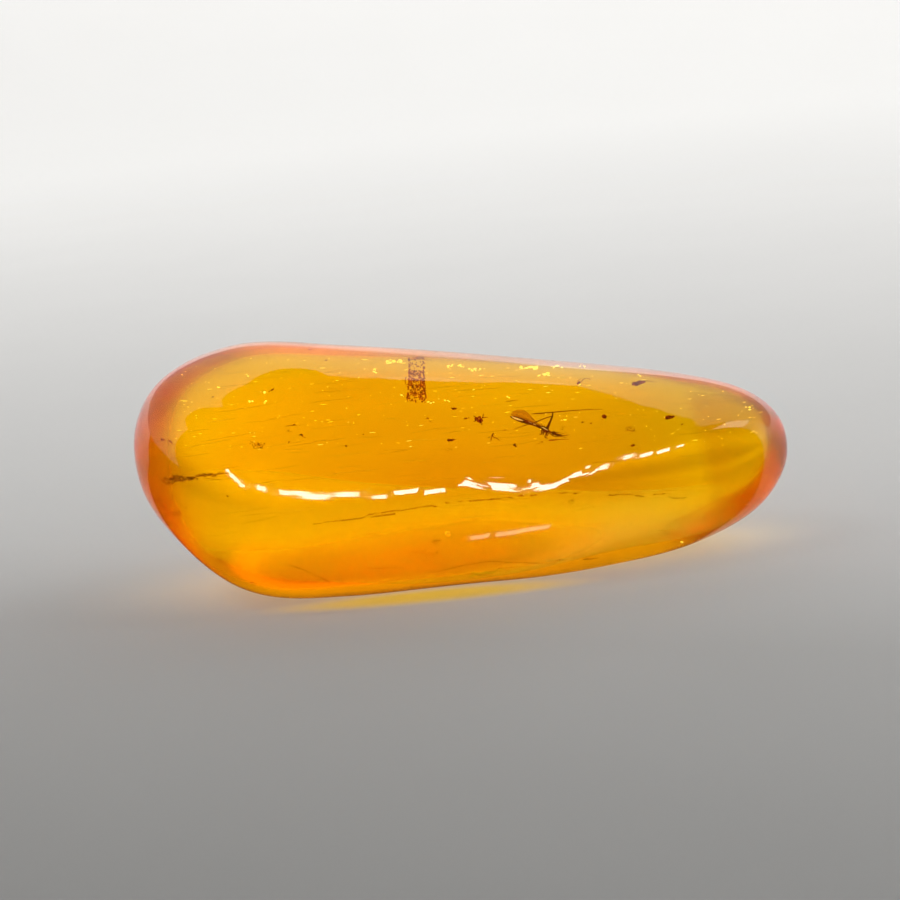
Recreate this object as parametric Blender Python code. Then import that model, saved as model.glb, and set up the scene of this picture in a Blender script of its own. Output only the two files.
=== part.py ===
"""A polished pebble of copal, lying on its ground flat.

The stone is one solid. It is drawn as a run of cross sections from the thick
end (-X) to the slim end (+X). Each section is made of four large arcs: the
sloping upper face, the steep front face, the back and the underside. The edge
between the upper and the front face is the ridge along the stone's front.
"""
import math

import bmesh
import bpy
import numpy as np

# ---------------------------------------------------------------- dimensions
MM = 0.001
LENGTH = 64.9             # thick end to slim end
END_X = (-LENGTH / 2, LENGTH / 2)
SHIFT_Y = -0.02            # centres the stone on its own box
GROUND = 0.35             # depth ground off the underside for the flat it rests on
FLAT_BLEND = 0.02         # softened rim of that flat
AROUND = 76               # faces round a section
LENGTHWISE = 54           # faces from end to end

# One value for every 22.5 degrees of the polar angle, thick end first (mm).
AXIS_Z = (15.0, 15.4, 14.6, 13.4, 12.6, 12.0, 11.3, 10.3, 9.3)       # height of the section's axis over the unground underside
ABOVE = (11.6, 13.6, 12.5, 9.7, 7.7, 6.9, 7.4, 9.6, 12.3)         # axis to the top line
BELOW = (23.2, 19.6, 19.1, 15.1, 13.1, 13.7, 14.7, 14.5, 10.1)         # axis to the underside
FRONT = (17.0, 17.5, 17.6, 15.6, 14.0, 13.2, 13.0, 13.2, 12.5)         # axis to the front
BACK = (17.0, 17.5, 17.0, 15.2, 14.2, 13.6, 12.8, 12.6, 12.5)           # axis to the back
CREST = (0.0, 5.0, 9.6, 10.5, 8.8, 7.5, 6.0, 3.0, 0.0)         # top line behind the axis
LEAN = (-1.0, -5.0, -9.0, -12.0, -13.0, -14.0, -11.0, -5.0, 0.0)           # height where the front bulges most
FRONT_R = (16.0, 18.0, 26.0, 36.0, 38.0, 38.0, 32.0, 22.0, 14.0)     # radius of the front face
BACK_R = (20.0, 22.0, 26.0, 19.0, 16.0, 14.0, 14.0, 14.0, 14.0)       # radius of the back
UNDER_R = 40.0            # radius of the underside before the flat is ground
EDGE = (3, 12, 30, 34, 30, 28, 20, 10, 4)           # how crisp the ridge is
BLUNT = (0.88, 0.94, 1.00, 1.00, 1.00, 1.00, 1.00, 0.95, 0.91)         # under 1: a blunter end

# Height of the ridge against the axis, one value for every 11.25 degrees (mm).
RIDGE = (1.0, 0.5, -0.2, -2.2, -4.6, -4.4, -4.1, -3.7, -3.3, -4.7, -3.55, -2.2, -0.4, 1.3, 2.8, 3.3, 3.5)

# Slow unevenness left by hand polishing: waves along, waves round, phase, height (mm).
WAVES = ((5.0, 1.0, 0.4, 0.060), (8.0, -2.0, 1.9, 0.045), (3.0, 3.0, 4.1, 0.070), (11.0, 1.0, 2.7, 0.028))


def along(table, phi):
    """Smooth curve through a table's stations, evenly spaced over phi = 0..pi."""
    table = np.asarray(table, float)
    last = len(table) - 1
    s = np.clip(np.asarray(phi, float) / math.pi * last, 0.0, last - 1e-9)
    i = np.floor(s).astype(int)
    t = s - i
    e = np.concatenate([[2 * table[0] - table[1]], table, [2 * table[-1] - table[-2]]])
    a, b, c, d = e[i], e[i + 1], e[i + 2], e[i + 3]
    return 0.5 * (2 * b + (c - a) * t + (2 * a - 5 * b + 4 * c - d) * t ** 2
                  + (3 * b - a - 3 * c + d) * t ** 3)


def reach_of_arc(cy, cz, r, c, s):
    """Distance from the axis to a circle (centre cy, cz, radius r) in the direction (c, s)."""
    q = cy * c + cz * s
    return q + np.sqrt(np.maximum(q * q + r * r - cy * cy - cz * cz, 0.01))


def section(phi, psi):
    """The section's outline before it is fitted to its box."""
    above, below = along(ABOVE, phi), along(BELOW, phi)
    front, back = along(FRONT, phi), along(BACK, phi)
    crest, edge = along(CREST, phi), along(EDGE, phi)
    front_r, back_r = along(FRONT_R, phi), along(BACK_R, phi)
    c, s = np.cos(psi), np.sin(psi)
    run, drop = front + crest, above - along(RIDGE, phi)
    upper_r = (run ** 2 + drop ** 2) / (2 * drop)
    upper = reach_of_arc(crest, above - upper_r, upper_r, c, s)
    face = reach_of_arc(front_r - front, along(LEAN, phi), front_r, c, s)
    rear = reach_of_arc(back - back_r, 0.0, back_r, c, s)
    under = reach_of_arc(-1.0, UNDER_R - below, UNDER_R, c, s)
    lit = (upper ** -edge + face ** -edge) ** (-1.0 / edge)
    fore = (lit ** -16 + under ** -16) ** (-1.0 / 16)
    t = (fore ** -9 + rear ** -9) ** (-1.0 / 9)
    return t * c, t * s


def limits():
    """The outlines' extents, tabulated along the stone."""
    phi = np.linspace(0.0, math.pi, 241)
    psi = np.linspace(0.0, 2 * math.pi, 361)
    y, z = section(phi[:, None] + 0 * psi, psi + 0 * phi[:, None])
    return phi, y.min(1), y.max(1), z.min(1), z.max(1)


def surface(phi, psi, box):
    """Points of the stone, in millimetres, for polar angle phi and angle psi round the axis."""
    where, y0, y1, z0, z1 = box
    y, z = section(phi, psi)
    y0, y1, z0, z1 = (np.interp(phi, where, q) for q in (y0, y1, z0, z1))
    front, back, above, below = (along(q, phi) for q in (FRONT, BACK, ABOVE, BELOW))
    swell = np.sin(phi) ** along(BLUNT, phi)
    y = swell * (-front + (y - y0) / (y1 - y0) * (front + back))
    z = swell * (-below + (z - z0) / (z1 - z0) * (above + below))
    wave = sum(h * np.sin(n * phi + m * psi + k) for n, m, k, h in WAVES) * np.sin(phi) ** 2
    size = np.sqrt(y * y + z * z) + 1e-9
    y, z = y * (1 + wave / size), z * (1 + wave / size)
    z = z + along(AXIS_Z, phi) - GROUND
    z = np.where(z <= -FLAT_BLEND, 0.0,
                 np.where(z >= FLAT_BLEND, z, (z + FLAT_BLEND) ** 2 / (4 * FLAT_BLEND)))
    x = (END_X[0] + END_X[1]) / 2 - LENGTH / 2 * np.cos(phi)
    return x, y + SHIFT_Y, z


def copal_material():
    mat = bpy.data.materials.new("copal")
    mat.use_nodes = True
    shader = mat.node_tree.nodes["Principled BSDF"]
    shader.inputs["Base Color"].default_value = (1.0, 0.52, 0.03, 1.0)
    shader.inputs["Roughness"].default_value = 0.05
    shader.inputs["Metallic"].default_value = 0.0
    shader.inputs["IOR"].default_value = 1.54
    shader.inputs["Transmission Weight"].default_value = 1.0
    return mat


def copal_stone(collection):
    bm = bmesh.new()
    bmesh.ops.create_uvsphere(bm, u_segments=AROUND, v_segments=LENGTHWISE, radius=1.0)
    co = np.array([v.co for v in bm.verts], float)
    phi = np.arccos(np.clip(-co[:, 2], -1.0, 1.0))
    psi = np.arctan2(co[:, 1], co[:, 0])
    pole = np.hypot(co[:, 0], co[:, 1]) < 1e-5
    psi[pole] = 0.0
    x, y, z = surface(phi, psi, limits())
    for vert, px, py, pz in zip(bm.verts, x, y, z):
        vert.co = (px * MM, py * MM, pz * MM)
    if bm.calc_volume(signed=True) < 0:
        bmesh.ops.reverse_faces(bm, faces=bm.faces)
    mesh = bpy.data.meshes.new("copal")
    bm.to_mesh(mesh)
    bm.free()
    mesh.polygons.foreach_set("use_smooth", [True] * len(mesh.polygons))
    mesh.materials.append(copal_material())
    stone = bpy.data.objects.new("copal", mesh)
    collection.objects.link(stone)
    return stone


def main():
    for old in list(bpy.data.objects):
        bpy.data.objects.remove(old, do_unlink=True)
    collection = bpy.data.collections.new("insect_in_copal")
    bpy.context.scene.collection.children.link(collection)
    copal_stone(collection)


main()
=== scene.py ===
"""Looks of a polished pebble of copal with a long-legged fly, frass and plant
dust sealed in it. The stone lies on its ground flat on a plain pale floor.

Everything sealed in the stone is placed by looking into it: a line of sight
meets the polished surface, bends as light does, and goes on to a chosen depth.
"""

import math

import bmesh
import bpy
import numpy as np
from mathutils import Matrix, Vector
from mathutils.bvhtree import BVHTree


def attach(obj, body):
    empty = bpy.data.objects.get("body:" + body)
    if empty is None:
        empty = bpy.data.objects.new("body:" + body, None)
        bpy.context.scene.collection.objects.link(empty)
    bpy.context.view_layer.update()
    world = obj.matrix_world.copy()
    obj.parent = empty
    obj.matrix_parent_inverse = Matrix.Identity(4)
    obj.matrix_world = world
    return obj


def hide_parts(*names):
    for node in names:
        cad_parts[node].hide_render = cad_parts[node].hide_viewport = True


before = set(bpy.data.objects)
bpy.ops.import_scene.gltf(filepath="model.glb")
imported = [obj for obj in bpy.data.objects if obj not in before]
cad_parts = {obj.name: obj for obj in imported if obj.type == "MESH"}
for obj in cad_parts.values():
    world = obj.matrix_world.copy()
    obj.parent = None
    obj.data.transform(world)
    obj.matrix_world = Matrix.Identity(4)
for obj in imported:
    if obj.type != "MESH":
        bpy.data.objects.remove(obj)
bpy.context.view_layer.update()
scene = bpy.context.scene
MM = 0.001
IOR = 1.54

# ------------------------------------------------------------------ the stone
LENGTH = 64.9             # thick end to slim end (mm)
END_X = (-LENGTH / 2, LENGTH / 2)
SHIFT_Y = -0.02
GROUND = 0.35             # depth ground off the underside for the flat
FLAT_BLEND = 0.10         # softened rim of that flat
AROUND = 296              # faces round a section
LENGTHWISE = 330          # faces from end to end

# One value for every 22.5 degrees of the polar angle, thick end first (mm).
AXIS_Z = (15.0, 15.4, 14.6, 13.4, 12.6, 12.0, 11.3, 10.3, 9.3)
ABOVE = (11.6, 13.6, 12.5, 9.7, 7.7, 6.9, 7.4, 9.6, 12.3)
BELOW = (23.2, 19.6, 19.1, 15.1, 13.1, 13.7, 14.7, 14.5, 10.1)
FRONT = (17.0, 17.5, 17.6, 15.6, 14.0, 13.2, 13.0, 13.2, 12.5)
BACK = (17.0, 17.5, 17.0, 15.2, 14.2, 13.6, 12.8, 12.6, 12.5)
CREST = (0.0, 5.0, 9.6, 10.5, 8.8, 7.5, 6.0, 3.0, 0.0)
LEAN = (-1.0, -5.0, -9.0, -12.0, -13.0, -14.0, -11.0, -5.0, 0.0)
FRONT_R = (16.0, 18.0, 26.0, 36.0, 38.0, 38.0, 32.0, 22.0, 14.0)
BACK_R = (20.0, 22.0, 26.0, 19.0, 16.0, 14.0, 14.0, 14.0, 14.0)
UNDER_R = 40.0
EDGE = (3, 12, 30, 34, 30, 28, 20, 10, 4)
BLUNT = (0.88, 0.94, 1.00, 1.00, 1.00, 1.00, 1.00, 0.95, 0.91)
# Height of the ridge against the axis, one value for every 11.25 degrees (mm).
RIDGE = (1.0, 0.5, -0.2, -2.2, -4.6, -4.4, -4.1, -3.7, -3.3, -4.7, -3.55, -2.2, -0.4, 1.3, 2.8, 3.3, 3.5)
# Slow unevenness left by hand polishing: waves along, waves round, phase, height (mm).
WAVES = ((5.0, 1.0, 0.4, 0.060), (8.0, -2.0, 1.9, 0.045), (3.0, 3.0, 4.1, 0.070), (11.0, 1.0, 2.7, 0.028))


def along(table, phi):
    """Smooth curve through a table's stations, evenly spaced over phi = 0..pi."""
    table = np.asarray(table, float)
    last = len(table) - 1
    s = np.clip(np.asarray(phi, float) / math.pi * last, 0.0, last - 1e-9)
    i = np.floor(s).astype(int)
    t = s - i
    e = np.concatenate([[2 * table[0] - table[1]], table, [2 * table[-1] - table[-2]]])
    a, b, c, d = e[i], e[i + 1], e[i + 2], e[i + 3]
    return 0.5 * (2 * b + (c - a) * t + (2 * a - 5 * b + 4 * c - d) * t ** 2
                  + (3 * b - a - 3 * c + d) * t ** 3)


def reach_of_arc(cy, cz, r, c, s):
    """Distance from the axis to a circle (centre cy, cz, radius r) in the direction (c, s)."""
    q = cy * c + cz * s
    return q + np.sqrt(np.maximum(q * q + r * r - cy * cy - cz * cz, 0.01))


def section(phi, psi):
    """The section's outline before it is fitted to its box."""
    above, below = along(ABOVE, phi), along(BELOW, phi)
    front, back = along(FRONT, phi), along(BACK, phi)
    crest, edge = along(CREST, phi), along(EDGE, phi)
    front_r, back_r = along(FRONT_R, phi), along(BACK_R, phi)
    c, s = np.cos(psi), np.sin(psi)
    run, drop = front + crest, above - along(RIDGE, phi)
    upper_r = (run ** 2 + drop ** 2) / (2 * drop)
    upper = reach_of_arc(crest, above - upper_r, upper_r, c, s)
    face = reach_of_arc(front_r - front, along(LEAN, phi), front_r, c, s)
    rear = reach_of_arc(back - back_r, 0.0, back_r, c, s)
    under = reach_of_arc(-1.0, UNDER_R - below, UNDER_R, c, s)
    lit = (upper ** -edge + face ** -edge) ** (-1.0 / edge)
    fore = (lit ** -16 + under ** -16) ** (-1.0 / 16)
    t = (fore ** -9 + rear ** -9) ** (-1.0 / 9)
    return t * c, t * s


def limits():
    """The outlines' extents, tabulated along the stone."""
    phi = np.linspace(0.0, math.pi, 241)
    psi = np.linspace(0.0, 2 * math.pi, 361)
    y, z = section(phi[:, None] + 0 * psi, psi + 0 * phi[:, None])
    return phi, y.min(1), y.max(1), z.min(1), z.max(1)


def hand_polish(x, y, z, near_ridge):
    """Fine waviness of a surface rubbed smooth by hand, in mm, a little stronger on the ridge."""
    rng = np.random.default_rng(11)
    slow, quick = 0.0 * x, 0.0 * x
    for k in range(30):
        d = rng.normal(size=3)
        d[0] *= 1.3
        d /= np.linalg.norm(d)
        wave = rng.uniform(2.6, 9.0)
        phase = rng.uniform(0, 2 * math.pi)
        ripple = np.sin(2 * math.pi / wave * (d[0] * x + d[1] * y + d[2] * z) + phase)
        slow = slow + 0.00060 * (wave / 4.0) * ripple
        quick = quick + 0.0007 * (wave / 4.0) * ripple
    return slow + near_ridge * quick


def surface(phi, psi, box, polish, relief=None):
    """Points of the stone, in millimetres, for polar angle phi and angle psi round the axis."""
    where, y0, y1, z0, z1 = box
    y, z = section(phi, psi)
    y0, y1, z0, z1 = (np.interp(phi, where, q) for q in (y0, y1, z0, z1))
    front, back, above, below = (along(q, phi) for q in (FRONT, BACK, ABOVE, BELOW))
    swell = np.sin(phi) ** along(BLUNT, phi)
    y = swell * (-front + (y - y0) / (y1 - y0) * (front + back))
    z = swell * (-below + (z - z0) / (z1 - z0) * (above + below))
    edge_at = np.arctan2(along(RIDGE, phi), -0.97 * front)
    off = (psi - edge_at + math.pi) % (2 * math.pi) - math.pi
    wave = sum(h * np.sin(n * phi + m * psi + k) for n, m, k, h in WAVES) * np.sin(phi) ** 2
    wave = wave * (1 - np.exp(-(off / 0.22) ** 4))
    x = (END_X[0] + END_X[1]) / 2 - LENGTH / 2 * np.cos(phi)
    if polish:
        wave = wave + hand_polish(x, y, z, np.exp(-(off / 0.11) ** 2) * np.sin(phi) ** 0.5)
    if relief is not None:
        wave = wave + np.interp(x, *relief) * np.exp(-(off / 0.16) ** 2)
    size = np.sqrt(y * y + z * z) + 1e-9
    y, z = y * (1 + wave / size), z * (1 + wave / size)
    z = z + along(AXIS_Z, phi) - GROUND
    z = np.where(z <= -FLAT_BLEND, 0.0,
                 np.where(z >= FLAT_BLEND, z, (z + FLAT_BLEND) ** 2 / (4 * FLAT_BLEND)))
    return x, y + SHIFT_Y, z


def stone_grid(polish, relief=None):
    """Vertices (metres) and faces of the stone: rings of points, finer along the ridge, and two end points."""
    ring = np.arange(1, LENGTHWISE) * math.pi / LENGTHWISE
    turn = np.arange(AROUND) * 2 * math.pi / AROUND
    turn = turn + 0.5 * np.sin(turn)
    phi, psi = np.meshgrid(ring, turn, indexing="ij")
    box = limits()
    x, y, z = surface(phi, psi, box, polish, relief)
    ex, ey, ez = surface(np.array([1e-7, math.pi - 1e-7]), np.array([0.0, 0.0]), box, False)
    verts = np.concatenate([np.stack([x, y, z], -1).reshape(-1, 3), np.stack([ex, ey, ez], -1)]) * MM
    rings = LENGTHWISE - 1
    faces = []
    for j in range(rings - 1):
        for i in range(AROUND):
            a, b = j * AROUND + i, j * AROUND + (i + 1) % AROUND
            faces.append((a, a + AROUND, b + AROUND, b))
    first, last = rings * AROUND, rings * AROUND + 1
    for i in range(AROUND):
        n = (i + 1) % AROUND
        faces.append((first, i, n))
        faces.append((last, (rings - 1) * AROUND + n, (rings - 1) * AROUND + i))
    return verts, faces


def signed_volume(verts, faces):
    """Volume of a closed mesh; negative if its faces look inwards."""
    v = np.asarray(verts)
    total = 0.0
    tri = np.array([(f[0], f[k], f[k + 1]) for f in faces for k in range(1, len(f) - 1)])
    a, b, c = v[tri[:, 0]], v[tri[:, 1]], v[tri[:, 2]]
    total = np.einsum("ij,ij->i", a, np.cross(b, c)).sum() / 6
    return total


def mesh_object(name, verts, faces, mat, smooth=True):
    """A new mesh object in the scene."""
    mesh = bpy.data.meshes.new(name)
    mesh.from_pydata([tuple(map(float, v)) for v in verts], [], faces)
    mesh.update()
    if smooth:
        mesh.polygons.foreach_set("use_smooth", [True] * len(mesh.polygons))
    mesh.materials.append(mat)
    ob = bpy.data.objects.new(name, mesh)
    scene.collection.objects.link(ob)
    return ob


# -------------------------------------------------------------- the materials
def material(name, base, rough, **extra):
    mat = bpy.data.materials.new(name)
    mat.use_nodes = True
    shader = mat.node_tree.nodes["Principled BSDF"]
    shader.inputs["Base Color"].default_value = (*base, 1.0)
    shader.inputs["Roughness"].default_value = rough
    for key, value in extra.items():
        shader.inputs[key.replace("_", " ")].default_value = value
    return mat


def stained(mat, tint, solid):
    """Lets the golden light through, coloured by tint, and covers it by the share solid."""
    nt = mat.node_tree
    clear, both = nt.nodes.new("ShaderNodeBsdfTransparent"), nt.nodes.new("ShaderNodeMixShader")
    clear.inputs["Color"].default_value = (*tint, 1.0)
    both.inputs[0].default_value = solid
    nt.links.new(clear.outputs[0], both.inputs[1])
    nt.links.new(nt.nodes["Principled BSDF"].outputs[0], both.inputs[2])
    nt.links.new(both.outputs[0], nt.nodes["Material Output"].inputs["Surface"])
    return mat


def object_coords(nt, stretch=(1.0, 1.0, 1.0)):
    coord = nt.nodes.new("ShaderNodeTexCoord")
    mapping = nt.nodes.new("ShaderNodeMapping")
    mapping.inputs["Scale"].default_value = stretch
    nt.links.new(coord.outputs["Object"], mapping.inputs["Vector"])
    return mapping.outputs["Vector"]


def noise(nt, scale, detail=4.0, rough=0.55, stretch=(1.0, 1.0, 1.0), distortion=0.0):
    node = nt.nodes.new("ShaderNodeTexNoise")
    node.inputs["Scale"].default_value = scale
    node.inputs["Detail"].default_value = detail
    node.inputs["Roughness"].default_value = rough
    node.inputs["Distortion"].default_value = distortion
    nt.links.new(object_coords(nt, stretch), node.inputs["Vector"])
    return node.outputs["Fac"]


def ramp(nt, fac, stops):
    node = nt.nodes.new("ShaderNodeValToRGB")
    els = node.color_ramp.elements
    while len(els) < len(stops):
        els.new(0.5)
    for el, (at, colour) in zip(els, stops):
        el.position = at
        el.color = (*colour, 1.0)
    nt.links.new(fac, node.inputs["Fac"])
    return node.outputs["Color"]


def mottle(mat, scale, stops, **kw):
    """Colour that wanders between the stops."""
    nt = mat.node_tree
    nt.links.new(ramp(nt, noise(nt, scale, **kw), stops), nt.nodes["Principled BSDF"].inputs["Base Color"])


def vary_roughness(mat, scale, low, high, **kw):
    nt = mat.node_tree
    span = nt.nodes.new("ShaderNodeMapRange")
    span.inputs["From Min"].default_value, span.inputs["From Max"].default_value = 0.35, 0.65
    span.inputs["To Min"].default_value, span.inputs["To Max"].default_value = low, high
    nt.links.new(noise(nt, scale, **kw), span.inputs["Value"])
    nt.links.new(span.outputs["Result"], nt.nodes["Principled BSDF"].inputs["Roughness"])


def bump(mat, scale, strength, distance, **kw):
    nt = mat.node_tree
    node = nt.nodes.new("ShaderNodeBump")
    node.inputs["Strength"].default_value = strength
    node.inputs["Distance"].default_value = distance
    nt.links.new(noise(nt, scale, **kw), node.inputs["Height"])
    nt.links.new(node.outputs["Normal"], nt.nodes["Principled BSDF"].inputs["Normal"])


def copal_material():
    """Clear resin: plain transmission, refraction and a yellow-orange absorption."""
    mat = material("copal", (1.0, 1.0, 1.0), 0.03, IOR=IOR, Transmission_Weight=1.0)
    nt = mat.node_tree
    shader = nt.nodes["Principled BSDF"]
    absorb = nt.nodes.new("ShaderNodeVolumeAbsorption")
    absorb.inputs["Color"].default_value = (0.9935, 0.931, 0.0, 1.0)
    absorb.inputs["Density"].default_value = 600.0
    nt.links.new(absorb.outputs["Volume"], nt.nodes["Material Output"].inputs["Volume"])
    # How dull the polish is, place by place, is stored with the surface.
    dull = nt.nodes.new("ShaderNodeAttribute")
    dull.attribute_name = "dull"
    nt.links.new(dull.outputs["Fac"], shader.inputs["Roughness"])
    # Hair-fine marks of polishing.
    fine = nt.nodes.new("ShaderNodeBump")
    fine.inputs["Strength"].default_value = 0.25
    fine.inputs["Distance"].default_value = 0.000004
    nt.links.new(noise(nt, 900.0, detail=0.0, stretch=(0.35, 1.0, 1.6)), fine.inputs["Height"])
    nt.links.new(fine.outputs["Normal"], shader.inputs["Normal"])
    return mat


# --------------------------------------------------------------- the line of sight
VIEW_PX = 900
LENS, SENSOR = 100.0, 36.0
FOCAL = LENS / SENSOR * VIEW_PX
TILT, ROLL, REACH = math.radians(12.0), math.radians(5.5), 0.250
AIM = Vector((-0.001175, 0.0, 0.01158))
_w = Vector((0.0, math.cos(TILT), -math.sin(TILT)))
_r = Vector((1.0, 0.0, 0.0))
_u = Vector((0.0, math.sin(TILT), math.cos(TILT)))
RIGHT = math.cos(ROLL) * _r - math.sin(ROLL) * _u
UP = math.sin(ROLL) * _r + math.cos(ROLL) * _u
EYE = AIM - _w * REACH


def sight(px, py):
    """Direction of the line of sight through a point of the view, x right and y down."""
    return (_w * FOCAL + RIGHT * (px - VIEW_PX / 2) - UP * (py - VIEW_PX / 2)).normalized()


class Skin:
    """The polished surface, to be looked at and through."""

    def __init__(self, verts, faces):
        self.verts = [Vector(v) for v in verts]
        self.faces = faces
        self.tree = BVHTree.FromPolygons(self.verts, faces)
        v = np.asarray(verts)
        n = np.zeros_like(v)
        quads = np.array([f for f in faces if len(f) == 4])
        a, b, c, d = (v[quads[:, k]] for k in range(4))
        cross = np.cross(c - a, d - b)
        for k in range(4):
            np.add.at(n, quads[:, k], cross)
        n /= np.linalg.norm(n, axis=1)[:, None] + 1e-20
        self.normals = n
        self.points = v

    def meet(self, px, py):
        """Where a line of sight meets the surface, the smooth normal there and the line's direction."""
        d = sight(px, py)
        p, flat_n, index, _ = self.tree.ray_cast(EYE, d)
        if p is None:
            return None
        ids = list(self.faces[index])
        away = np.linalg.norm(self.points[ids] - np.array(p), axis=1) + 1e-9
        n = Vector((self.normals[ids] / away[:, None] ** 2).sum(0)).normalized()
        if n.dot(flat_n) < 0:
            n = -n
        if n.dot(d) > 0:
            n = -n
        return p, n, d

    def inside(self, px, py, depth):
        """The point that is seen at (px, py), depth mm past the surface, and the line's new direction."""
        met = self.meet(px, py)
        if met is None:
            return None
        p, n, d = met
        eta, c = 1 / IOR, -n.dot(d)
        t = (d * eta + n * (eta * c - math.sqrt(1 - eta * eta * (1 - c * c)))).normalized()
        return p + t * depth * MM, t


class Patch:
    """A small frame sealed in the stone. Units are tenths of a millimetre as seen: right, down, and towards the eye."""

    def __init__(self, px, py, depth, span=10.0):
        c, t = skin.inside(px, py, depth)
        r = (skin.inside(px + span, py, depth) or (None,))[0]
        left = (skin.inside(px - span, py, depth) or (None,))[0]
        u = (skin.inside(px, py - span, depth) or (None,))[0]
        dn = (skin.inside(px, py + span, depth) or (None,))[0]
        self.px, self.py, self.c = px, py, c
        self.ex = (r - left) / (2 * span) if r and left else ((r - c) / span if r else (c - left) / span)
        self.ey = (dn - u) / (2 * span) if u and dn else ((dn - c) / span if dn else (c - u) / span)
        self.ez = -t * 0.0001

    def at(self, px, py, lift=0.0):
        return self.c + self.ex * (px - self.px) + self.ey * (py - self.py) + self.ez * lift


# ----------------------------------------------------------------- mesh making
def icosphere(level):
    bm = bmesh.new()
    bmesh.ops.create_icosphere(bm, subdivisions=level, radius=1.0)
    verts = np.array([v.co for v in bm.verts], float)
    faces = [tuple(v.index for v in f.verts) for f in bm.faces]
    bm.free()
    return verts, faces


BALLS = {k: icosphere(k) for k in (1, 2, 3)}


def smooth_path(points, per=6):
    """More points on a smooth curve through the given ones; every point is a tuple of any length."""
    p = np.asarray(points, float)
    if len(p) < 3:
        return np.array([p[0] + (p[-1] - p[0]) * k / per for k in range(per + 1)])
    e = np.vstack([2 * p[0] - p[1], p, 2 * p[-1] - p[-2]])
    out = []
    for i in range(len(p) - 1):
        a, b, c, d = e[i:i + 4]
        for k in range(per):
            t = k / per
            out.append(0.5 * (2 * b + (c - a) * t + (2 * a - 5 * b + 4 * c - d) * t * t
                              + (3 * b - a - 3 * c + d) * t ** 3))
    out.append(p[-1])
    return np.array(out)


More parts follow.
